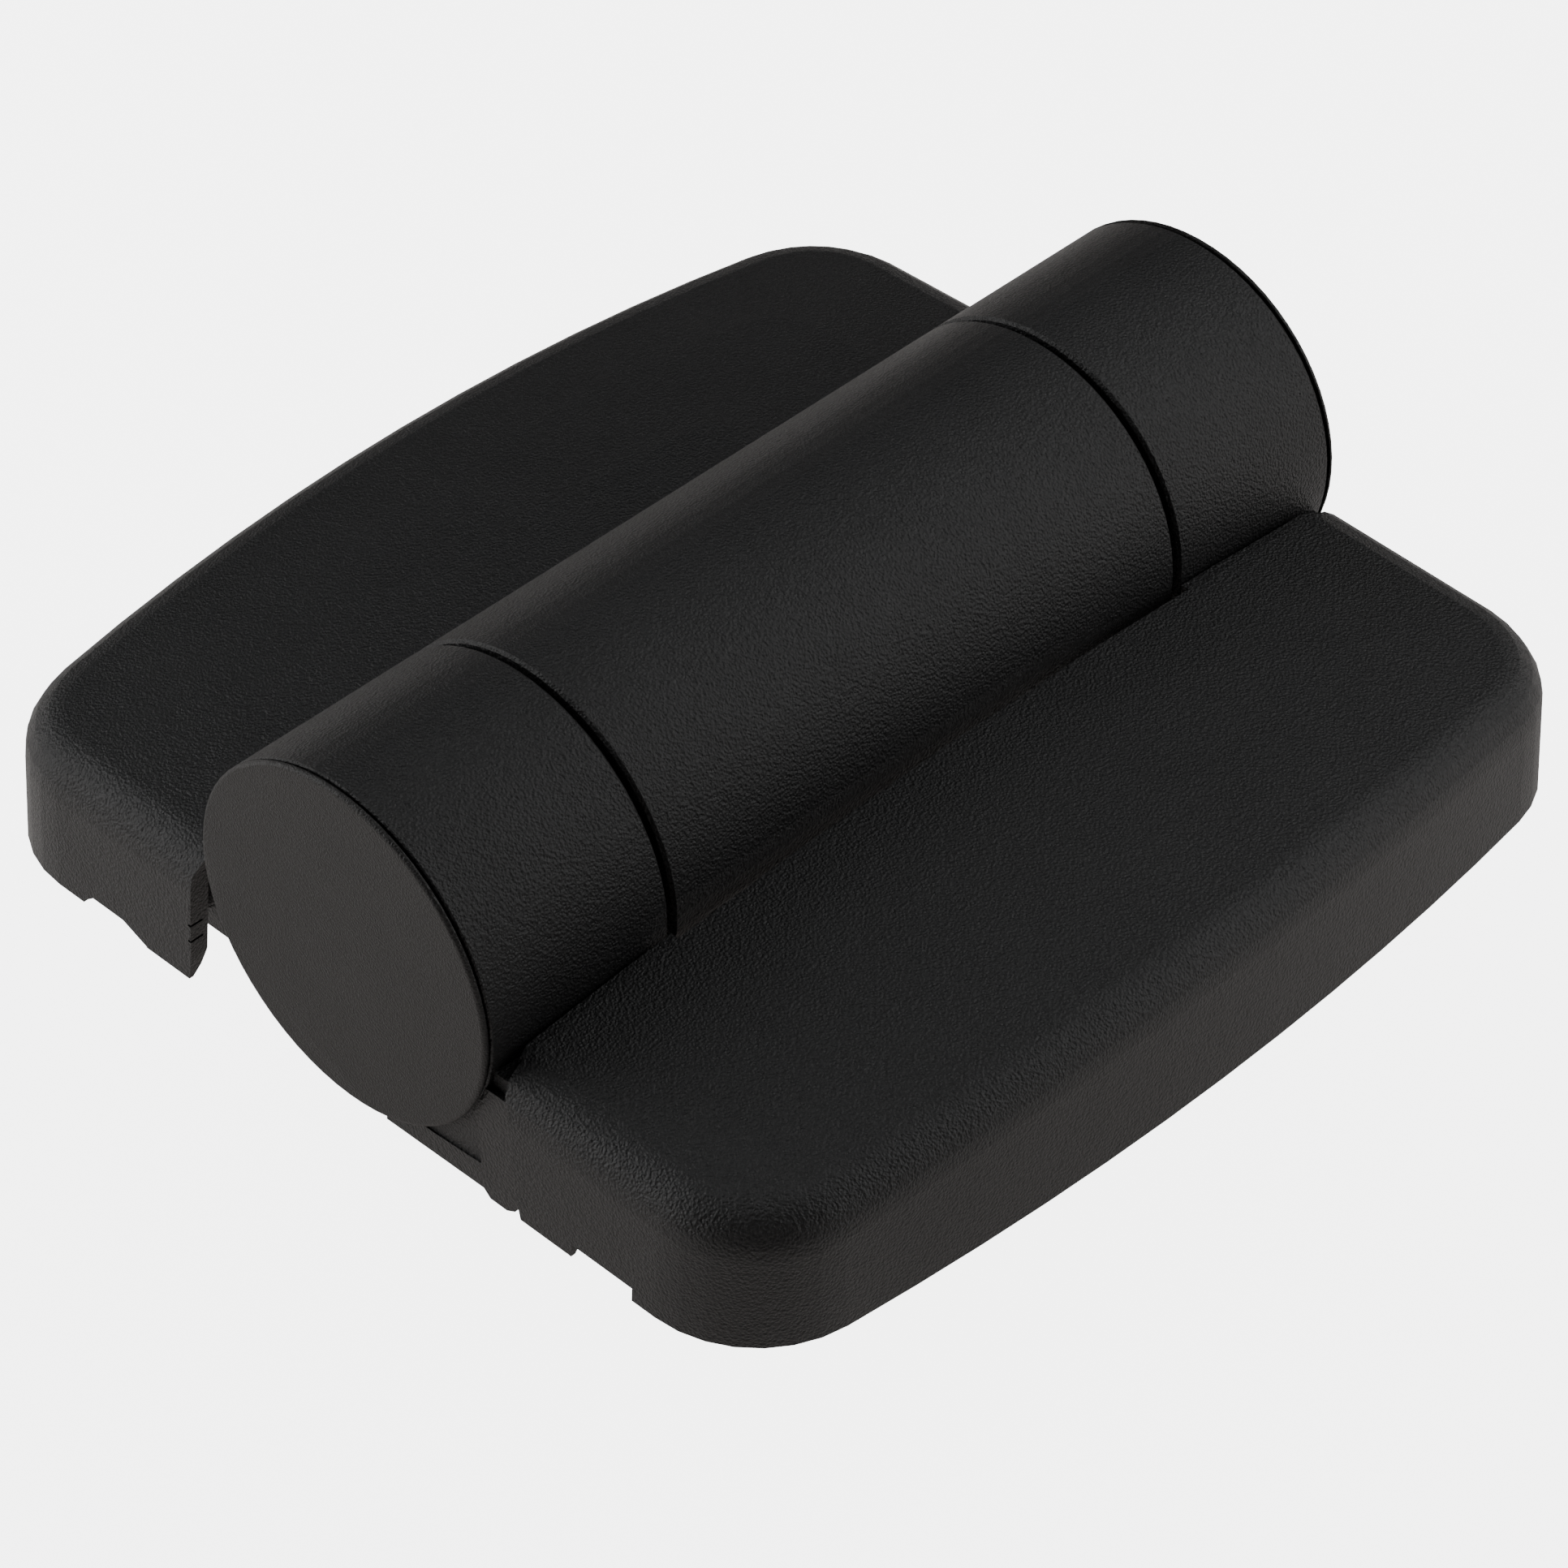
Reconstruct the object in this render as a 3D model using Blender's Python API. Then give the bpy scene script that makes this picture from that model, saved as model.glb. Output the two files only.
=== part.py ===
"""A covered three-knuckle hinge: two leaves on a steel pin, clip-on screw covers and barrel end caps.

X runs from the moving leaf (-X) to the frame leaf (+X), Y along the pin and Z up from the mounting plane.
The origin lies on the mounting plane, under the middle of the pin. Lengths are in millimetres and are
turned into metres when a mesh is made.
"""

import math

import bmesh
import bpy

MM = 0.001
CLEARANCE = 0.3
CUT_MARGIN = 1.0
FLUSH_STEP = 0.05

# Barrel
BARREL_RADIUS = 17.9
AXIS_HEIGHT = 19.25
CAP_FACE = 55.0
CAP_BACK = 54.45
CAP_CENTRE_BACK = 53.3
CAP_CENTRE_RADIUS = 12.8
CAP_ROUNDING = 0.4
CAP_ROUNDING_STEPS = 3
CAP_BACK_CHAMFER = 0.05
KNUCKLE_END = CAP_BACK - CLEARANCE
KNUCKLE_END_CHAMFER = 0.15
KNUCKLE_SPLIT = 33.1
CENTRE_HALF_LENGTH = 32.45
KNUCKLE_CHAMFER = 0.3
BARREL_SEGMENTS = 64
POCKET_SEGMENTS = 32
BORE_SEGMENTS = 24

# Pin and what runs on it
PIN_RADIUS = 5.0
PIN_END = 49.0
PIN_CHAMFER = 0.6
RING_GROOVE_RADIUS = 4.2
RING_BORE_RADIUS = RING_GROOVE_RADIUS + CLEARANCE
RING_RADIUS = 7.6
RING_THICKNESS = 1.0
RING_OPENING_DEG = 56.0
BUSH_BORE_RADIUS = PIN_RADIUS + CLEARANCE
BUSH_RADIUS = 7.0
BUSH_SEAT_RADIUS = BUSH_RADIUS + CLEARANCE
BUSH_FLANGE_RADIUS = 9.0
BUSH_FLANGE = 1.2
CENTRE_BUSH_INNER_END = 18.0
CENTRE_WEB_RADIUS = 5.8
THRUST_RECESS_RADIUS = 12.0
THRUST_RECESS_DEPTH = 1.0
THRUST_WASHER_RADIUS = THRUST_RECESS_RADIUS - CLEARANCE
PIN_WASHER_RADIUS = 9.0
PIN_WASHER = 1.0
POCKET_FLOOR = 43.0
POCKET_RADIUS = 14.0

# End caps
SKIRT_RADIUS = POCKET_RADIUS - CLEARANCE
SKIRT_BORE_RADIUS = 11.9
SKIRT_END = 46.5
SKIRT_ROOT = 0.25
BEAD_HEIGHT = 0.5
BEAD_CENTRE = 49.6
BEAD_HALF_LENGTH = 0.9

# Plan outline of a cover, shared by the base plates at a greater inset
COVER_HALF_LENGTH = 55.4
COVER_CORNER_RADIUS = 12.3
COVER_OUTER_X = 49.05
COVER_BOW = 4.4
CORNER_POINTS = 7
ARC_POINTS = 12
EDGE_POINTS = 1

# Cover shell
COVER_BOTTOM = 2.1
COVER_TOP = 19.6
COVER_INNER_X = 18.0
COVER_SPAN_X = 36.0
OUTWARD_FALL = 2.05
END_FALL = 3.0
COVER_FILLET = 4.0
COVER_DRAFT = 0.5
COVER_WALL = 2.1
COVER_FOOT = ((0.5, COVER_BOTTOM), (1.4, 3.2), (COVER_WALL, 4.8))
FILLET_STEPS = 4
TOP_RINGS = (0.75, 0.4)

# Inner edges of the covers, as (x, z) from the foot of the end wall up to the top
COVER_LIP_X = 19.15
FRAME_COVER_EDGE = (
    (22.1, COVER_BOTTOM),
    (21.75, 3.3),
    (21.3, 5.7),
    (20.8, 10.9),
    (20.3, 13.0),
    (19.75, 14.0),
    (19.3, 15.6),
    (COVER_LIP_X, 17.0),
)
MOVING_COVER_EDGE = (
    (20.6, COVER_BOTTOM),
    (20.3, 4.5),
    (20.1, 12.0),
    (20.05, 14.2),
    (19.6, 15.6),
    (COVER_LIP_X, 16.8),
)

# Release slots in the end walls, as (x, z) from the inner foot over the top to the outer foot
FRAME_SLOT = ((28.3, 1.0), (28.3, 3.5), (35.6, 3.5), (35.6, 1.0))
MOVING_SLOT = ((26.4, 1.0), (26.4, 2.2), (29.6, 3.35), (33.7, 3.35), (35.0, 2.3), (35.0, 1.0))
HOOK_OFFSET = 1.6
HOOK_WIDTH = 4.0
HOOK_REACH = 2.0
HOOK_ROOT = 1.1
SIDE_HOOK_Y = 21.0

# Base plate of a leaf
PLATE_INNER_X = 21.0
FOOT_INSET = 7.4
DECK_INSET = 2.6
DECK_BOTTOM = 3.3
DECK_TOP = 6.5
FOOT_OVERLAP = 1.0

# Open inner corners of the moving leaf's deck
DECK_NOTCH_X = (PLATE_INNER_X - CUT_MARGIN, 25.5)
DECK_NOTCH_Y = 49.0
DECK_NOTCH_Z = (DECK_BOTTOM - CUT_MARGIN, DECK_TOP + CUT_MARGIN)

HOOK_TOP = DECK_BOTTOM - CLEARANCE

# Necks that carry the knuckles; corners are (x, z)
NECK_BOTTOM = FLUSH_STEP
NECK_PROFILE = (
    (6.4, NECK_BOTTOM),
    (26.0, NECK_BOTTOM),
    (26.0, 6.9),
    (21.0, 9.5),
    (18.4, 11.5),
    (8.0, 18.9),
    (6.4, 5.0),
)
NECK_LIP = (
    (14.0, 11.0),
    (19.2, 10.6),
    (19.4, 13.9),
    (18.98, 15.5),
    (18.84, 17.0),
    (18.84, 21.0),
    (18.15, 21.0),
    (18.15, 15.0),
    (14.0, 15.0),
)
NECK_FACE = (
    (3.8, 0.6),
    (16.1, 0.8),
    (16.9, NECK_BOTTOM),
    (19.0, NECK_BOTTOM),
    (20.0, 0.6),
    (21.2, 3.0),
    (20.95, 5.7),
    (20.5, 10.8),
    (19.9, 12.7),
    (19.2, 13.3),
    (16.2, 13.3),
    (8.0, 14.5),
    (3.8, 5.0),
)
NECK_PANEL = (
    (0.0, 3.2),
    (10.0, 3.2),
    (15.95, 3.65),
    (15.4, 9.0),
    (15.2, 11.5),
    (12.0, 16.0),
    (0.0, 16.0),
)
NECK_PANEL_DEPTH = 0.2
NECK_LIP_END = 53.4
NECK_LIP_TAPER = ((17.6, 50.2), (18.1, 50.2), (19.3, 53.6), (17.6, 53.6))
NECK_LIP_DROP = 0.15
NECK_BACKSET = 0.4
NECK_END = COVER_HALF_LENGTH - DECK_INSET - NECK_BACKSET
NECK_OVERLAP = 2.0
NECK_CORE_X = (10.5, 21.0)
NECK_CORE_TOP = 5.0
END_NECK_CORE_Y = (36.5, 49.5)
CENTRE_NECK_CORE_Y = (3.0, 28.5)

# Shallow lines across the wall ends of the moving cover
WALL_LINE_HEIGHTS = (6.65, 8.5)
WALL_LINE_WIDTH = 0.25
WALL_LINE_DEPTH = 0.35
WALL_LINE_LENGTH = 1.7

# Screw bosses for M6 fixings
SCREW_X = 37.0
SCREW_Y = 32.0
BOSS_RADIUS = 8.0
BOSS_BOTTOM = 1.0
BOSS_TOP = 8.0
SCREW_SEAT_RADIUS = 5.0
SLEEVE_BORE_RADIUS = 3.3
SLEEVE_RADIUS = SCREW_SEAT_RADIUS - CLEARANCE
SLEEVE_FLANGE_RADIUS = 7.0
SLEEVE_FLANGE = 1.2

# Cored pockets under a base plate
CORE_X = ((23.0, 32.2), (34.2, 43.4))
CORE_Y = (9.0, 21.5)
CORE_TOP = 4.5

PLASTIC = (0.012, 0.012, 0.013)
PLASTIC_ROUGHNESS = 0.6
STEEL = (0.55, 0.55, 0.56)
STEEL_ROUGHNESS = 0.3
METAL = 1.0
ACETAL = (0.75, 0.74, 0.70)
ACETAL_ROUGHNESS = 0.45
SMOOTH_ANGLE = math.radians(30.0)

FRAME, MOVING = 1, -1
NEAR, FAR = -1, 1
END_NAMES = {NEAR: "near", FAR: "far"}


def clear_scene():
    for obj in list(bpy.data.objects):
        bpy.data.objects.remove(obj)


def make_object(name, points, faces):
    """A closed mesh from points in millimetres, with its origin on the pin's axis."""
    mesh = bpy.data.meshes.new(name)
    scaled = [(x * MM, y * MM, (z - AXIS_HEIGHT) * MM) for x, y, z in points]
    mesh.from_pydata(scaled, [], faces)
    shell = bmesh.new()
    shell.from_mesh(mesh)
    bmesh.ops.recalc_face_normals(shell, faces=shell.faces)
    shell.to_mesh(mesh)
    shell.free()
    obj = bpy.data.objects.new(name, mesh)
    obj.location.z = AXIS_HEIGHT * MM
    bpy.context.collection.objects.link(obj)
    return obj


def combine(target, other, operation):
    """Applies one Boolean to the target and removes the other object."""
    modifier = target.modifiers.new("Boolean", "BOOLEAN")
    modifier.operation = operation
    modifier.solver = "EXACT"
    modifier.object = other
    bpy.context.view_layer.update()
    graph = bpy.context.evaluated_depsgraph_get()
    result = bpy.data.meshes.new_from_object(target.evaluated_get(graph))
    target.modifiers.clear()
    target.data = result
    bpy.data.objects.remove(other)


def add(target, *others):
    for other in others:
        combine(target, other, "UNION")


def cut(target, *others):
    for other in others:
        combine(target, other, "DIFFERENCE")


def finish(obj, colour, roughness, metallic=0.0):
    material = bpy.data.materials.new(obj.name)
    material.use_nodes = True
    shader = material.node_tree.nodes["Principled BSDF"]
    shader.inputs["Base Color"].default_value = (*colour, 1.0)
    shader.inputs["Roughness"].default_value = roughness
    shader.inputs["Metallic"].default_value = metallic
    obj.data.materials.clear()
    obj.data.materials.append(material)
    obj.data.shade_smooth()
    obj.data.set_sharp_from_angle(angle=SMOOTH_ANGLE)


def prism(name, outline, low, high, place):
    """A flat outline extruded from low to high; place turns (u, v, height) into (x, y, z)."""
    count = len(outline)
    points = [place(u, v, level) for level in (low, high) for u, v in outline]
    sides = [(i, (i + 1) % count, count + (i + 1) % count, count + i) for i in range(count)]
    lids = [tuple(range(count)), tuple(range(2 * count - 1, count - 1, -1))]
    return make_object(name, points, sides + lids)


def prism_along_pin(name, outline, low, high, side=FRAME):
    """An (x, z) outline extruded along Y."""
    return prism(name, outline, low, high, lambda u, v, level: (side * u, level, v))


def upright_prism(name, outline, low, high, side=FRAME):
    """An (x, y) outline extruded along Z."""
    return prism(name, outline, low, high, lambda u, v, level: (side * u, v, level))


def block(name, x_span, y_span, z_span, side=FRAME):
    (x_low, x_high), (y_low, y_high) = x_span, y_span
    outline = [(x_low, y_low), (x_high, y_low), (x_high, y_high), (x_low, y_high)]
    return upright_prism(name, outline, *z_span, side)


def upright_cylinder(name, x, y, radius, low, high, side=FRAME):
    angles = [2.0 * math.pi * i / BORE_SEGMENTS for i in range(BORE_SEGMENTS)]
    outline = [(x + radius * math.cos(a), y + radius * math.sin(a)) for a in angles]
    return upright_prism(name, outline, low, high, side)


def turned(name, profile, segments=BORE_SEGMENTS, centre=(0.0, AXIS_HEIGHT)):
    """A closed (radius, y) profile turned about the pin's axis; points at zero radius become one vertex."""
    points, rows = [], []
    for radius, y in profile:
        steps = segments if radius > 0.0 else 1
        first = len(points)
        for i in range(steps):
            angle = 2.0 * math.pi * i / segments
            points.append((centre[0] + radius * math.cos(angle), y, centre[1] + radius * math.sin(angle)))
        rows.append([first + (i if steps > 1 else 0) for i in range(segments)])
    faces = []
    for row, following in zip(rows, rows[1:] + rows[:1]):
        for i in range(segments):
            j = (i + 1) % segments
            corners = list(dict.fromkeys((row[i], row[j], following[j], following[i])))
            if len(corners) > 2:
                faces.append(corners)
    return make_object(name, points, faces)


def ring(name, bore, radius, low, high, segments=BORE_SEGMENTS):
    """A plain washer or sleeve around the pin."""
    return turned(name, [(bore, low), (radius, low), (radius, high), (bore, high)], segments)


def cover_outline(inset, inner_x):
    """Half-oval plan outline, open towards the barrel: end, corner, bowed outer side, corner, end."""
    bow_radius = (COVER_HALF_LENGTH ** 2 + COVER_BOW ** 2) / (2.0 * COVER_BOW)
    bow_x = COVER_OUTER_X + COVER_BOW - bow_radius
    corner_y = COVER_CORNER_RADIUS - COVER_HALF_LENGTH
    corner_x = bow_x + math.sqrt((bow_radius - COVER_CORNER_RADIUS) ** 2 - corner_y ** 2)
    turn = math.atan2(corner_y, corner_x - bow_x)
    half = [
        (inner_x + (corner_x - inner_x) * i / EDGE_POINTS, inset - COVER_HALF_LENGTH)
        for i in range(EDGE_POINTS)
    ]
    radius = COVER_CORNER_RADIUS - inset
    for i in range(CORNER_POINTS + 1):
        angle = -math.pi / 2.0 + (turn + math.pi / 2.0) * i / CORNER_POINTS
        half.append((corner_x + radius * math.cos(angle), corner_y + radius * math.sin(angle)))
    for i in range(1, ARC_POINTS // 2 + 1):
        angle = turn * (1.0 - 2.0 * i / ARC_POINTS)
        reach = bow_radius - inset
        half.append((bow_x + reach * math.cos(angle), reach * math.sin(angle)))
    middle = half.pop()
    return half + [(middle[0], 0.0)] + [(x, -y) for x, y in reversed(half)]


def cover_top(x, y):
    """Height of a cover's top, which falls away from the barrel and towards both ends."""
    outward = max(0.0, (x - COVER_INNER_X) / COVER_SPAN_X)
    return COVER_TOP - OUTWARD_FALL * outward ** 2 - END_FALL * (y / COVER_HALF_LENGTH) ** 2


def dome(name, side, inset, feet, inner_x):
    """The solid under a cover's skin, inset all over; feet lists its lower (inset, height) rings."""
    fillet = COVER_FILLET - inset
    rings = [[(x, y, height) for x, y in cover_outline(foot, inner_x)] for foot, height in feet]
    for step in range(FILLET_STEPS + 1):
        angle = math.pi / 2.0 * step / FILLET_STEPS
        plan = cover_outline(inset + COVER_DRAFT + fillet * (1.0 - math.cos(angle)), inner_x)
        drop = inset + fillet * (1.0 - math.sin(angle))
        rings.append([(x, y, cover_top(x, y) - drop) for x, y in plan])
    rim = rings[-1]
    for scale in TOP_RINGS:
        plan = [(inner_x + (x - inner_x) * scale, y * scale) for x, y, _ in rim]
        rings.append([(x, y, cover_top(x, y) - inset) for x, y in plan])
    points = [(side * x, y, z) for row in rings for x, y, z in row]
    points.append((side * inner_x, 0.0, cover_top(inner_x, 0.0) - inset))
    count = len(rim)
    top = len(points) - 1
    starts = [count * i for i in range(len(rings))]
    faces = []
    for low, high in zip(starts, starts[1:]):
        for i in range(count - 1):
            faces += [(low + i, low + i + 1, high + i + 1), (low + i, high + i + 1, high + i)]
    faces += [(starts[-1] + i, starts[-1] + i + 1, top) for i in range(count - 1)]
    faces.append(tuple(range(count)))
    faces.append(tuple(starts + [top] + [start + count - 1 for start in reversed(starts)]))
    return make_object(name, points, faces)


def hooks(side, middle):
    """Barbs inside a cover's walls that catch under the edge of the deck."""
    made = []
    wall_y = COVER_HALF_LENGTH - COVER_WALL
    wall_x = COVER_OUTER_X + COVER_BOW * (1.0 - (SIDE_HOOK_Y / COVER_HALF_LENGTH) ** 2) - COVER_WALL
    half = HOOK_WIDTH / 2.0
    height = (COVER_BOTTOM, HOOK_TOP)
    for end in (NEAR, FAR):
        y_span = sorted((end * (wall_y + HOOK_ROOT), end * (wall_y - HOOK_REACH)))
        made.append(block("hook", (middle - half, middle + half), y_span, height, side))
        y_span = (end * SIDE_HOOK_Y - half, end * SIDE_HOOK_Y + half)
        made.append(block("hook", (wall_x - HOOK_REACH, wall_x + HOOK_ROOT), y_span, height, side))
    return made


def make_cover(name, side, edge, slot):
    """A thin shell, open below and towards the barrel, with a release slot at each end."""
    below, above = COVER_BOTTOM - CUT_MARGIN, COVER_TOP + CUT_MARGIN
    cover = dome(name, side, 0.0, [(0.0, COVER_BOTTOM)], COVER_INNER_X)
    cut(cover, dome("hollow", side, COVER_WALL, [(COVER_FOOT[0][0], below), *COVER_FOOT], 0.0))
    clearance = [(0.0, below), (edge[0][0], below), *edge, (edge[-1][0], above), (0.0, above)]
    reach = COVER_HALF_LENGTH + CUT_MARGIN
    cut(cover, prism_along_pin("barrel_clearance", clearance, -reach, reach, side))
    add(cover, *hooks(side, slot[-1][0] + HOOK_OFFSET))
    for end in (NEAR, FAR):
        depth = sorted((end * (COVER_HALF_LENGTH - COVER_WALL - CUT_MARGIN), end * reach))
        cut(cover, prism_along_pin("release_slot", slot, *depth, side))
    return cover


def cut_wall_lines(cover):
    """Two shallow lines across each wall end of the moving cover."""
    for end in (NEAR, FAR):
        inner, outer = COVER_HALF_LENGTH - WALL_LINE_LENGTH, COVER_HALF_LENGTH + CUT_MARGIN
        y_span = sorted((end * inner, end * outer))
        for height in WALL_LINE_HEIGHTS:
            z_span = (height - WALL_LINE_WIDTH / 2.0, height + WALL_LINE_WIDTH / 2.0)
            x_span = (COVER_LIP_X - CUT_MARGIN, wall_end_x(MOVING_COVER_EDGE, height) + WALL_LINE_DEPTH)
            cut(cover, block("line", x_span, y_span, z_span, MOVING))


def make_covers():
    frame = make_cover("frame_cover", FRAME, FRAME_COVER_EDGE, FRAME_SLOT)
    moving = make_cover("moving_cover", MOVING, MOVING_COVER_EDGE, MOVING_SLOT)
    cut_wall_lines(moving)
    finish(frame, PLASTIC, PLASTIC_ROUGHNESS)
    finish(moving, PLASTIC, PLASTIC_ROUGHNESS)


def wall_end_x(edge, height):
    """Where a cover's end wall stops, at a height on the long straight part of its edge."""
    (x_low, z_low), (x_high, z_high) = edge[1], edge[2]
    return x_low + (x_high - x_low) * (height - z_low) / (z_high - z_low)


def base_plate(name, side):
    """Foot, wider deck and screw bosses of a leaf."""
    plate = upright_prism(name, cover_outline(DECK_INSET, PLATE_INNER_X), DECK_BOTTOM, DECK_TOP, side)
    foot = cover_outline(FOOT_INSET, PLATE_INNER_X)
    add(plate, upright_prism("foot", foot, 0.0, DECK_BOTTOM + FOOT_OVERLAP, side))
    for end in (NEAR, FAR):
        place = (SCREW_X, end * SCREW_Y)
        add(plate, upright_cylinder("boss", *place, BOSS_RADIUS, BOSS_BOTTOM, BOSS_TOP, side))
    return plate


def cut_fixings(leaf, side, neck_core_y):
    """Screw holes and the cored pockets underneath the base plate and the neck."""
    cores = [(x_span, CORE_Y, CORE_TOP) for x_span in CORE_X] + [(NECK_CORE_X, neck_core_y, NECK_CORE_TOP)]
    for end in (NEAR, FAR):
        bottom, top = -CUT_MARGIN, BOSS_TOP + CUT_MARGIN
        cut(leaf, upright_cylinder("hole", SCREW_X, end * SCREW_Y, SCREW_SEAT_RADIUS, bottom, top, side))
        for x_span, (low, high), ceiling in cores:
            y_span = sorted((end * low, end * high))
            cut(leaf, block("core", x_span, y_span, (bottom, ceiling), side))


def turned_from_end(name, end, profile, segments=BORE_SEGMENTS):
    """A turned solid at one end of the pin, from a profile given for the far end."""
    return turned(name, [(radius, end * y) for radius, y in profile], segments)


def core_neck(neck, low, high):
    """Clears the middle of a neck so that only the knuckle fills the barrel."""
    radius = BARREL_RADIUS - NECK_OVERLAP
    cut(neck, turned("hollow", [(0.0, low), (radius, low), (radius, high), (0.0, high)], BARREL_SEGMENTS))


def end_knuckle(end):
    """Outer knuckle with its bush seat, cap pocket, bead groove and thrust washer recess."""
    recess = KNUCKLE_SPLIT + THRUST_RECESS_DEPTH
    groove_half = BEAD_HALF_LENGTH + CLEARANCE
    profile = [
        (THRUST_RECESS_RADIUS, KNUCKLE_SPLIT),
        (THRUST_RECESS_RADIUS, recess),
        (BUSH_SEAT_RADIUS, recess),
        (BUSH_SEAT_RADIUS, POCKET_FLOOR),
        (POCKET_RADIUS, POCKET_FLOOR),
        (POCKET_RADIUS, BEAD_CENTRE - groove_half),
        (POCKET_RADIUS + BEAD_HEIGHT, BEAD_CENTRE),
        (POCKET_RADIUS, BEAD_CENTRE + groove_half),
        (POCKET_RADIUS, KNUCKLE_END),
        (BARREL_RADIUS - KNUCKLE_END_CHAMFER, KNUCKLE_END),
        (BARREL_RADIUS, KNUCKLE_END - KNUCKLE_END_CHAMFER),
        (BARREL_RADIUS, KNUCKLE_SPLIT + KNUCKLE_CHAMFER),
        (BARREL_RADIUS - KNUCKLE_CHAMFER, KNUCKLE_SPLIT),
    ]
    return turned_from_end("end_knuckle", end, profile, BARREL_SEGMENTS)


def centre_knuckle():
    """Middle knuckle, bored from both ends up to a web between the bushes."""
    recess = CENTRE_HALF_LENGTH - THRUST_RECESS_DEPTH
    step = CENTRE_BUSH_INNER_END - CLEARANCE
    right = [
        (CENTRE_WEB_RADIUS, step),
        (BUSH_SEAT_RADIUS, step),
        (BUSH_SEAT_RADIUS, recess),
        (THRUST_RECESS_RADIUS, recess),
        (THRUST_RECESS_RADIUS, CENTRE_HALF_LENGTH),
        (BARREL_RADIUS - KNUCKLE_CHAMFER, CENTRE_HALF_LENGTH),
        (BARREL_RADIUS, CENTRE_HALF_LENGTH - KNUCKLE_CHAMFER),
    ]
    left = [(radius, -y) for radius, y in reversed(right)]
    return turned("centre_knuckle", right + left, BARREL_SEGMENTS)


def neck_lip(side, low, high):
    """The strip of a neck that fills the gap beside a cover, a little below its top."""
    lip = prism_along_pin("lip", NECK_LIP, low, high, side)
    inner_x = NECK_LIP[0][0] - CUT_MARGIN
    combine(lip, dome("top", side, NECK_LIP_DROP, [(NECK_LIP_DROP, 0.0)], inner_x), "INTERSECT")
    return lip


def end_neck(end):
    """Neck of an outer knuckle: a body, a lip along the cover and a flush end face with a sunk panel."""
    start = KNUCKLE_SPLIT + FLUSH_STEP
    face = KNUCKLE_END - FLUSH_STEP
    neck = prism_along_pin("neck", NECK_PROFILE, *sorted((end * start, end * NECK_END)))
    lip = neck_lip(FRAME, *sorted((end * start, end * NECK_LIP_END)))
    taper = [(x, end * y) for x, y in NECK_LIP_TAPER]
    cut(lip, upright_prism("taper", taper, NECK_LIP[-1][1], COVER_TOP + CUT_MARGIN))
    add(neck, lip)
    add(neck, prism_along_pin("face", NECK_FACE, *sorted((end * (NECK_END - CUT_MARGIN), end * face))))
    panel = sorted((end * (face - NECK_PANEL_DEPTH), end * (face + CUT_MARGIN)))
    cut(neck, prism_along_pin("panel", NECK_PANEL, *panel))
    core_neck(neck, *sorted((end * (KNUCKLE_SPLIT - CUT_MARGIN), end * (KNUCKLE_END + CUT_MARGIN))))
    add(neck, end_knuckle(end))
    return neck


def make_frame_leaf():
    """Leaf with the two end knuckles."""
    leaf = base_plate("frame_leaf", FRAME)
    for end in (NEAR, FAR):
        add(leaf, end_neck(end))
    cut_fixings(leaf, FRAME, END_NECK_CORE_Y)
    finish(leaf, PLASTIC, PLASTIC_ROUGHNESS)


def make_moving_leaf():
    """Leaf with the centre knuckle."""
    half = CENTRE_HALF_LENGTH - FLUSH_STEP
    neck = prism_along_pin("neck", NECK_PROFILE, -half, half, MOVING)
    add(neck, neck_lip(MOVING, -half, half))
    core_neck(neck, -half - CUT_MARGIN, half + CUT_MARGIN)
    add(neck, centre_knuckle())
    leaf = base_plate("moving_leaf", MOVING)
    for end in (NEAR, FAR):
        y_span = sorted((end * DECK_NOTCH_Y, end * COVER_HALF_LENGTH))
        cut(leaf, block("notch", DECK_NOTCH_X, y_span, DECK_NOTCH_Z, MOVING))
    add(leaf, neck)
    cut_fixings(leaf, MOVING, CENTRE_NECK_CORE_Y)
    finish(leaf, PLASTIC, PLASTIC_ROUGHNESS)


def make_pin():
    groove = washer_stop()
    groove_end = groove + RING_THICKNESS + 2.0 * CLEARANCE
    right = [
        (PIN_RADIUS, groove),
        (RING_GROOVE_RADIUS, groove),
        (RING_GROOVE_RADIUS, groove_end),
        (PIN_RADIUS, groove_end),
        (PIN_RADIUS, PIN_END - PIN_CHAMFER),
        (PIN_RADIUS - PIN_CHAMFER, PIN_END),
        (0.0, PIN_END),
    ]
    profile = [(radius, -y) for radius, y in reversed(right)] + right
    finish(turned("hinge_pin", profile), STEEL, STEEL_ROUGHNESS, METAL)


def flange_top():
    return POCKET_FLOOR + CLEARANCE + BUSH_FLANGE


def washer_stop():
    """Distance along the pin of the outer face of a pin washer, where the ring groove starts."""
    return flange_top() + CLEARANCE + PIN_WASHER


def make_bushes(end):
    sleeve_start = KNUCKLE_SPLIT + THRUST_RECESS_DEPTH
    flanged = [
        (BUSH_BORE_RADIUS, sleeve_start),
        (BUSH_RADIUS, sleeve_start),
        (BUSH_RADIUS, POCKET_FLOOR + CLEARANCE),
        (BUSH_FLANGE_RADIUS, POCKET_FLOOR + CLEARANCE),
        (BUSH_FLANGE_RADIUS, flange_top()),
        (BUSH_BORE_RADIUS, flange_top()),
    ]
    name = "end_bush_" + END_NAMES[end]
    finish(turned(name, [(radius, end * y) for radius, y in flanged]), ACETAL, ACETAL_ROUGHNESS)
    recess = CENTRE_HALF_LENGTH - THRUST_RECESS_DEPTH
    name = "centre_bush_" + END_NAMES[end]
    bush = ring(name, BUSH_BORE_RADIUS, BUSH_RADIUS, end * CENTRE_BUSH_INNER_END, end * recess)
    finish(bush, ACETAL, ACETAL_ROUGHNESS)


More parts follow.
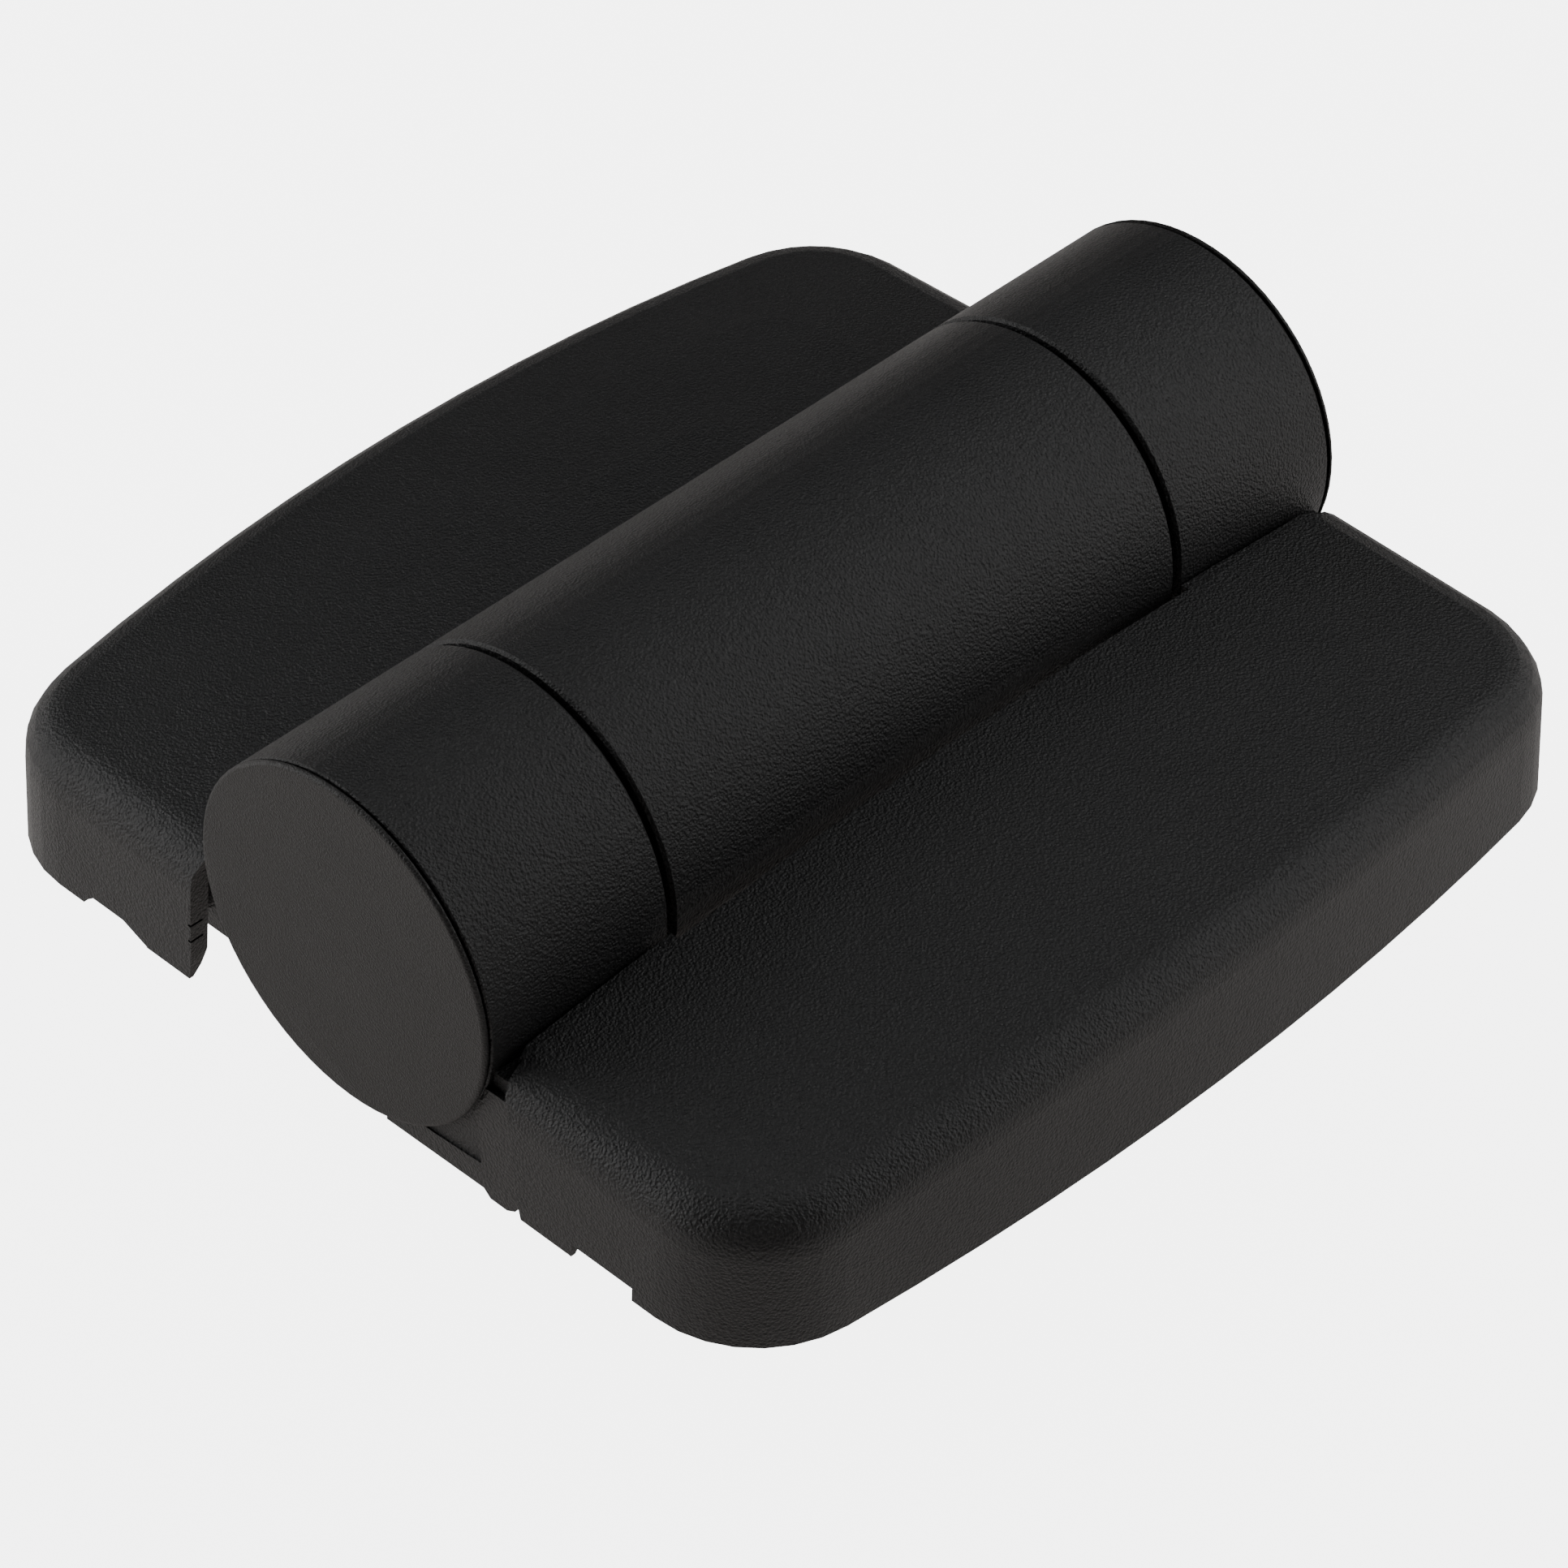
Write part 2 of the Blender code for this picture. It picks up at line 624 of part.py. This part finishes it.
def make_washers(end):
    low = CENTRE_HALF_LENGTH - THRUST_RECESS_DEPTH + CLEARANCE
    high = KNUCKLE_SPLIT + THRUST_RECESS_DEPTH - CLEARANCE
    name = "thrust_washer_" + END_NAMES[end]
    washer = ring(name, BUSH_BORE_RADIUS, THRUST_WASHER_RADIUS, end * low, end * high)
    finish(washer, ACETAL, ACETAL_ROUGHNESS)
    low = flange_top() + CLEARANCE
    name = "pin_washer_" + END_NAMES[end]
    washer = ring(name, BUSH_BORE_RADIUS, PIN_WASHER_RADIUS, end * low, end * (low + PIN_WASHER))
    finish(washer, STEEL, STEEL_ROUGHNESS, METAL)


def make_retaining_ring(end):
    """An open spring ring in the groove of the pin, its gap facing down."""
    half_gap = math.radians(RING_OPENING_DEG / 2.0)
    start = -math.pi / 2.0 + half_gap
    sweep = 2.0 * (math.pi - half_gap)
    angles = [start + sweep * i / BORE_SEGMENTS for i in range(BORE_SEGMENTS + 1)]
    outer = [(RING_RADIUS * math.cos(a), AXIS_HEIGHT + RING_RADIUS * math.sin(a)) for a in angles]
    inner = [(RING_BORE_RADIUS * math.cos(a), AXIS_HEIGHT + RING_BORE_RADIUS * math.sin(a)) for a in angles]
    low = washer_stop() + CLEARANCE
    span = sorted((end * low, end * (low + RING_THICKNESS)))
    clip = prism_along_pin("retaining_ring_" + END_NAMES[end], outer + inner[::-1], *span)
    finish(clip, STEEL, STEEL_ROUGHNESS, METAL)


def make_cap(end):
    """A disc closing the barrel, with a rounded rim, a skirt and a bead that holds it."""
    edge = BARREL_RADIUS - CAP_ROUNDING
    rim = []
    for step in range(CAP_ROUNDING_STEPS + 1):
        angle = math.pi / 2.0 * step / CAP_ROUNDING_STEPS
        back = CAP_ROUNDING * (1.0 - math.sin(angle))
        rim.append((edge + CAP_ROUNDING * math.cos(angle), CAP_FACE - back))
    disc = [
        (0.0, CAP_CENTRE_BACK),
        (CAP_CENTRE_RADIUS, CAP_CENTRE_BACK),
        (CAP_CENTRE_RADIUS, CAP_BACK),
        (BARREL_RADIUS - CAP_BACK_CHAMFER, CAP_BACK),
        (BARREL_RADIUS, CAP_BACK + CAP_BACK_CHAMFER),
        *rim,
        (0.0, CAP_FACE),
    ]
    root = CAP_BACK + SKIRT_ROOT
    skirt = [
        (SKIRT_BORE_RADIUS, root),
        (SKIRT_BORE_RADIUS, SKIRT_END),
        (SKIRT_RADIUS, SKIRT_END),
        (SKIRT_RADIUS, BEAD_CENTRE - BEAD_HALF_LENGTH),
        (SKIRT_RADIUS + BEAD_HEIGHT, BEAD_CENTRE),
        (SKIRT_RADIUS, BEAD_CENTRE + BEAD_HALF_LENGTH),
        (SKIRT_RADIUS, root),
    ]
    cap = turned_from_end("end_cap_" + END_NAMES[end], end, disc, BARREL_SEGMENTS)
    add(cap, turned_from_end("skirt", end, skirt, POCKET_SEGMENTS))
    finish(cap, PLASTIC, PLASTIC_ROUGHNESS)


def make_sleeve(name, side, end):
    """A flanged steel sleeve that takes the clamping load of one M6 screw."""
    place = (SCREW_X, end * SCREW_Y)
    seat = BOSS_TOP + CLEARANCE
    top = seat + SLEEVE_FLANGE
    sleeve = upright_cylinder(name, *place, SLEEVE_RADIUS, 0.0, top, side)
    add(sleeve, upright_cylinder("flange", *place, SLEEVE_FLANGE_RADIUS, seat, top, side))
    bore = (SLEEVE_BORE_RADIUS, -CUT_MARGIN, top + CUT_MARGIN)
    cut(sleeve, upright_cylinder("bore", *place, *bore, side))
    finish(sleeve, STEEL, STEEL_ROUGHNESS, METAL)


def main():
    clear_scene()
    make_frame_leaf()
    make_moving_leaf()
    make_covers()
    make_pin()
    for end in (NEAR, FAR):
        make_bushes(end)
        make_washers(end)
        make_retaining_ring(end)
        make_cap(end)
        make_sleeve("frame_sleeve_" + END_NAMES[end], FRAME, end)
        make_sleeve("moving_sleeve_" + END_NAMES[end], MOVING, end)


main()
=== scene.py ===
"""Looks of the covered plastic hinge: grained black plastic, steel and acetal in a pale studio."""

import math

import bpy
from mathutils import Matrix, Vector


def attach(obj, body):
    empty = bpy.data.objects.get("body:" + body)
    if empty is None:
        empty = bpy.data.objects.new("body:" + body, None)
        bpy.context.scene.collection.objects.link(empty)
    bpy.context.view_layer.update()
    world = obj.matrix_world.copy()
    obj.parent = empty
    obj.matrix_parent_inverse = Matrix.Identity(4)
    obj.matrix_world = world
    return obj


MM = 0.001

# Camera
AZIMUTH = math.radians(43.983)
ELEVATION = math.radians(41.417)
ROLL = math.radians(0.482)
DISTANCE = 545.07 * MM
TARGET = Vector((-1.666, 1.197, 1.564)) * MM
SENSOR = 36.0
LENS = 134.78

# Moulded plastic: grain, colours and shine
GRAIN = 0.28 * MM
GRAIN_DEPTH = 0.12 * MM
CAP_GRAIN = 0.196 * MM
CAP_GRAIN_DEPTH = 0.08 * MM
FINE_GRAIN = 0.12 * MM
FINE_GRAIN_WEIGHT = 0.7
BLOTCH = 9.0 * MM
BLOTCH_LIGHTER = 1.35
BLACK = (0.0070, 0.0070, 0.0072)
# The caps' black is lighter and warmer than the covers' black: painted light, standing in for the light
# the caps' end faces catch
CAP_BLACK_PAINTED_LIGHT = (0.0085, 0.0082, 0.0078)
ROUGHNESS = 0.44
CAP_ROUGHNESS = 0.48
ROUGHNESS_SPREAD = 0.06
EDGE_POLISH = 0.05
SPECULAR = 0.4

# Steel and acetal of the inner pieces
STEEL = ((0.42, 0.42, 0.43), (0.6, 0.6, 0.61))
STEEL_ROUGHNESS = (0.25, 0.42)
ACETAL = ((0.68, 0.66, 0.60), (0.78, 0.77, 0.73))
ACETAL_ROUGHNESS = (0.38, 0.5)
INNER_MARKS_DEPTH = 0.02 * MM

# Rounding of sharp edges
SHARP_EDGE = math.radians(38.0)
EDGE_ROUNDING = 0.12 * MM
INNER_ROUNDING = 0.15 * MM
WELD_DISTANCE = 0.0005 * MM

# Studio: the floor and the backdrop look white to the camera and glow faintly on the object
FLOOR_SIZE = 6.0
FLOOR_DROP = 40.0 * MM
WHITE = 5.0
FLOOR_GLOW = 0.218
ROOM_GLOW = 0.02
WARM = (1.14, 0.96, 0.85)
LIGHT_DISTANCE = 0.75
LIGHT_SIZE = 0.55
# name, azimuth and elevation in degrees, power in watts
LIGHTS = (
    ("overhead", 0, 90, 0.2),
    ("back_right", 45, 18, 1.25),
    ("front_left", 225, 18, 2.2),
    ("left", 205, 33, 1.65),
    ("right", 60, 35, 1.2),
    ("high_right", 45, 50, 0.4),
    ("high_back", 90, 50, 0.75),
    ("high_left_back", 135, 50, 0.3),
    ("high_left", 225, 50, 0.2),
)

# Hairline joints between a cover and the strip beside the barrel, in millimetres
JOINT_X = (18.75, 19.25)
JOINT_DEPTH = 0.22
JOINT_HEIGHT = 0.6
JOINT_STEPS = 24
SIDE_JOINT = (33.2, 51.8)
MIDDLE_JOINT = 32.1
COVER_HALF_LENGTH = 55.4
COVER_TOP = 19.55
END_FALL = 3.0
FILLET = 4.0
FILLET_EDGE = 54.9

COVERS = ("frame_cover", "moving_cover")
LEAVES = ("frame_leaf", "moving_leaf")
CAPS = ("end_cap_near", "end_cap_far")


def new_material(name):
    material = bpy.data.materials.new(name)
    material.use_nodes = True
    tree = material.node_tree
    return material, tree, tree.nodes["Principled BSDF"]


def position(tree, scale):
    """Object coordinates scaled so that one unit is the given length."""
    coordinates = tree.nodes.new("ShaderNodeTexCoord")
    mapping = tree.nodes.new("ShaderNodeMapping")
    mapping.inputs["Scale"].default_value = (1.0 / scale,) * 3
    tree.links.new(coordinates.outputs["Object"], mapping.inputs["Vector"])
    return mapping.outputs["Vector"]


def noise(tree, size, detail=2.0, roughness=0.5):
    node = tree.nodes.new("ShaderNodeTexNoise")
    node.inputs["Scale"].default_value = 1.0
    node.inputs["Detail"].default_value = detail
    node.inputs["Roughness"].default_value = roughness
    tree.links.new(position(tree, size), node.inputs["Vector"])
    return node.outputs["Fac"]


def cells(tree, size):
    """Soft rounded cells, as spark erosion leaves on a mould."""
    node = tree.nodes.new("ShaderNodeTexVoronoi")
    node.feature = "SMOOTH_F1"
    node.inputs["Scale"].default_value = 1.0
    node.inputs["Smoothness"].default_value = 0.6
    tree.links.new(position(tree, size), node.inputs["Vector"])
    return node.outputs["Distance"]


def maths(tree, operation, first, second):
    node = tree.nodes.new("ShaderNodeMath")
    node.operation = operation
    for socket, value in zip(node.inputs, (first, second)):
        if isinstance(value, (int, float)):
            socket.default_value = value
        else:
            tree.links.new(value, socket)
    return node.outputs["Value"]


def spread(tree, value, low, high, new_low, new_high):
    node = tree.nodes.new("ShaderNodeMapRange")
    numbers = {"From Min": low, "From Max": high, "To Min": new_low, "To Max": new_high}
    for name, number in numbers.items():
        node.inputs[name].default_value = number
    tree.links.new(value, node.inputs["Value"])
    return node.outputs["Result"]


def tint(tree, factor, first, second):
    node = tree.nodes.new("ShaderNodeMix")
    node.data_type = "RGBA"
    node.inputs["A"].default_value = (*first, 1.0)
    node.inputs["B"].default_value = (*second, 1.0)
    tree.links.new(factor, node.inputs["Factor"])
    return node.outputs["Result"]


def bump(tree, shader, height, strength, distance):
    node = tree.nodes.new("ShaderNodeBump")
    node.inputs["Strength"].default_value = strength
    node.inputs["Distance"].default_value = distance
    tree.links.new(height, node.inputs["Height"])
    tree.links.new(node.outputs["Normal"], shader.inputs["Normal"])


def edge_wear(tree):
    """Up to 1 on convex edges, 0 on flats."""
    geometry = tree.nodes.new("ShaderNodeNewGeometry")
    return spread(tree, geometry.outputs["Pointiness"], 0.52, 0.60, 0.0, 1.0)


def grained_plastic(name, colour, roughness, size, depth):
    material, tree, shader = new_material(name)
    blotch = spread(tree, noise(tree, BLOTCH), 0.3, 0.7, 0.0, 1.0)
    lighter = tuple(BLOTCH_LIGHTER * c for c in colour)
    tree.links.new(tint(tree, blotch, colour, lighter), shader.inputs["Base Color"])
    fine = maths(tree, "MULTIPLY", noise(tree, FINE_GRAIN), FINE_GRAIN_WEIGHT)
    grain = maths(tree, "ADD", cells(tree, size), fine)
    rough = spread(tree, grain, 0.3, 1.1, roughness - ROUGHNESS_SPREAD, roughness + ROUGHNESS_SPREAD)
    rough = maths(tree, "SUBTRACT", rough, maths(tree, "MULTIPLY", edge_wear(tree), EDGE_POLISH))
    tree.links.new(rough, shader.inputs["Roughness"])
    shader.inputs["Specular IOR Level"].default_value = SPECULAR
    bump(tree, shader, grain, 1.0, depth)
    return material


def turned_steel(name):
    material, tree, shader = new_material(name)
    shader.inputs["Metallic"].default_value = 1.0
    factor = noise(tree, 3.0 * MM, 4.0)
    tree.links.new(tint(tree, factor, *STEEL), shader.inputs["Base Color"])
    tree.links.new(spread(tree, factor, 0.2, 0.8, *STEEL_ROUGHNESS), shader.inputs["Roughness"])
    bump(tree, shader, noise(tree, 0.25 * MM), 0.3, INNER_MARKS_DEPTH)
    return material


def natural_acetal(name):
    material, tree, shader = new_material(name)
    factor = noise(tree, 6.0 * MM)
    tree.links.new(tint(tree, factor, *ACETAL), shader.inputs["Base Color"])
    tree.links.new(spread(tree, factor, 0.2, 0.8, *ACETAL_ROUGHNESS), shader.inputs["Roughness"])
    bump(tree, shader, noise(tree, 0.5 * MM), 0.2, INNER_MARKS_DEPTH)
    return material


def round_edges(obj, width, segments=3):
    """Joins the split vertices of a CAD mesh, shades it smooth and rounds its sharp edges."""
    weld = obj.modifiers.new("Weld", "WELD")
    weld.merge_threshold = WELD_DISTANCE
    bevel = obj.modifiers.new("Bevel", "BEVEL")
    bevel.width = width
    bevel.segments = segments
    bevel.limit_method = "ANGLE"
    bevel.angle_limit = SHARP_EDGE
    bevel.harden_normals = True
    normals = obj.modifiers.new("Normals", "WEIGHTED_NORMAL")
    normals.weight = 100
    normals.keep_sharp = True
    for polygon in obj.data.polygons:
        polygon.use_smooth = True


def paint(obj, material):
    obj.data.materials.clear()
    obj.data.materials.append(material)


def dress(nodes):
    plastic = grained_plastic("black_plastic", BLACK, ROUGHNESS, GRAIN, GRAIN_DEPTH)
    # The caps get the lighter, warmer black, painted light on their end faces
    cap = grained_plastic("cap_plastic", CAP_BLACK_PAINTED_LIGHT, CAP_ROUGHNESS, CAP_GRAIN, CAP_GRAIN_DEPTH)
    steel = turned_steel("turned_steel")
    acetal = natural_acetal("natural_acetal")
    for name, obj in nodes.items():
        if name in COVERS or name in LEAVES:
            paint(obj, plastic)
            round_edges(obj, EDGE_ROUNDING)
        elif name in CAPS:
            paint(obj, cap)
            round_edges(obj, EDGE_ROUNDING)
        elif "bush" in name or "thrust" in name:
            paint(obj, acetal)
            round_edges(obj, INNER_ROUNDING, 1)
        else:
            paint(obj, steel)
            round_edges(obj, INNER_ROUNDING, 1)
    joints(plastic)


def camera():
    back = Vector((
        math.sin(AZIMUTH) * math.cos(ELEVATION),
        -math.cos(AZIMUTH) * math.cos(ELEVATION),
        math.sin(ELEVATION),
    ))
    right = Vector((math.cos(AZIMUTH), math.sin(AZIMUTH), 0.0))
    up = back.cross(right)
    rolled_right = math.cos(ROLL) * right + math.sin(ROLL) * up
    rolled_up = math.cos(ROLL) * up - math.sin(ROLL) * right
    data = bpy.data.cameras.new("camera")
    data.lens = LENS
    data.sensor_width = SENSOR
    data.clip_start = 0.01
    obj = bpy.data.objects.new("camera", data)
    turn = Matrix((rolled_right, rolled_up, back)).transposed()
    obj.matrix_world = Matrix.Translation(TARGET + back * DISTANCE) @ turn.to_4x4()
    bpy.context.scene.collection.objects.link(obj)
    bpy.context.scene.camera = obj


def seen_white(tree, socket, glow):
    """White for the camera and a faint glow for everything else."""
    path = tree.nodes.new("ShaderNodeLightPath")
    tree.links.new(spread(tree, path.outputs["Is Camera Ray"], 0.0, 1.0, glow, WHITE), socket)


def floor():
    bpy.ops.mesh.primitive_plane_add(size=FLOOR_SIZE, location=(0.0, 0.0, -FLOOR_DROP))
    obj = bpy.context.object
    obj.name = "floor"
    material, tree, shader = new_material("floor")
    shader.inputs["Base Color"].default_value = (0.9, 0.9, 0.9, 1.0)
    shader.inputs["Roughness"].default_value = 0.9
    shader.inputs["Specular IOR Level"].default_value = 0.1
    camera_ray = tree.nodes.new("ShaderNodeLightPath").outputs["Is Camera Ray"]
    tree.links.new(tint(tree, camera_ray, WARM, (1.0, 1.0, 1.0)), shader.inputs["Emission Color"])
    seen_white(tree, shader.inputs["Emission Strength"], FLOOR_GLOW)
    obj.data.materials.append(material)


def backdrop():
    world = bpy.data.worlds.new("studio")
    world.use_nodes = True
    background = world.node_tree.nodes["Background"]
    background.inputs["Color"].default_value = (1.0, 1.0, 1.0, 1.0)
    seen_white(world.node_tree, background.inputs["Strength"], ROOM_GLOW)
    bpy.context.scene.world = world


def soft_light(name, azimuth, elevation, power):
    """A round soft light aimed at the object; the azimuth is counted from +X towards +Y, in degrees."""
    turn, tilt = math.radians(azimuth), math.radians(elevation)
    out = Vector((math.cos(turn) * math.cos(tilt), math.sin(turn) * math.cos(tilt), math.sin(tilt)))
    data = bpy.data.lights.new(name, "AREA")
    data.shape = "DISK"
    data.size = LIGHT_SIZE
    data.energy = power
    obj = bpy.data.objects.new(name, data)
    obj.location = LIGHT_DISTANCE * out
    obj.rotation_euler = (-out).to_track_quat("-Z", "Y").to_euler()
    bpy.context.scene.collection.objects.link(obj)


def studio():
    floor()
    backdrop()
    for light in LIGHTS:
        soft_light(*light)


def joint_height(y):
    """Top of a cover beside the barrel, down into the rounding at its ends."""
    top = COVER_TOP - END_FALL * (y / COVER_HALF_LENGTH) ** 2
    into = max(0.0, abs(y) - (FILLET_EDGE - FILLET))
    return top - FILLET + math.sqrt(FILLET ** 2 - into ** 2)


def joint(name, body, side, low, high, material):
    """A sliver that closes the clearance between a neck's strip and its cover just below their tops."""
    points, faces = [], []
    for i in range(JOINT_STEPS + 1):
        y = low + (high - low) * i / JOINT_STEPS
        top = joint_height(y) - JOINT_DEPTH
        for x, z in ((0, top), (1, top), (1, top - JOINT_HEIGHT), (0, top - JOINT_HEIGHT)):
            points.append((side * JOINT_X[x] * MM, y * MM, z * MM))
    for start in range(0, 4 * JOINT_STEPS, 4):
        for i in range(4):
            j = (i + 1) % 4
            faces.append((start + i, start + j, start + 4 + j, start + 4 + i))
    last = 4 * JOINT_STEPS
    faces += [(3, 2, 1, 0), (last, last + 1, last + 2, last + 3)]
    if side > 0:
        faces = [face[::-1] for face in faces]
    mesh = bpy.data.meshes.new(name)
    mesh.from_pydata(points, [], faces)
    obj = bpy.data.objects.new(name, mesh)
    bpy.context.scene.collection.objects.link(obj)
    paint(obj, material)
    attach(obj, body)


def joints(material):
    start, end = SIDE_JOINT
    joint("joint_near", "frame_side", 1, -end, -start, material)
    joint("joint_far", "frame_side", 1, start, end, material)
    joint("joint_middle", "moving_side", -1, -MIDDLE_JOINT, MIDDLE_JOINT, material)


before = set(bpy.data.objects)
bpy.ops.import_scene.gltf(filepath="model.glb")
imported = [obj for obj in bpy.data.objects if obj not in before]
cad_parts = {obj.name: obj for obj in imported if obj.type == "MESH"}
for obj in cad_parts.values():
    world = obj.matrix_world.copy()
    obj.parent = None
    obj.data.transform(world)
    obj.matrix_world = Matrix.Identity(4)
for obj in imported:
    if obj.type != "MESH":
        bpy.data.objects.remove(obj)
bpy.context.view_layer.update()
dress(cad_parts)
studio()
camera()
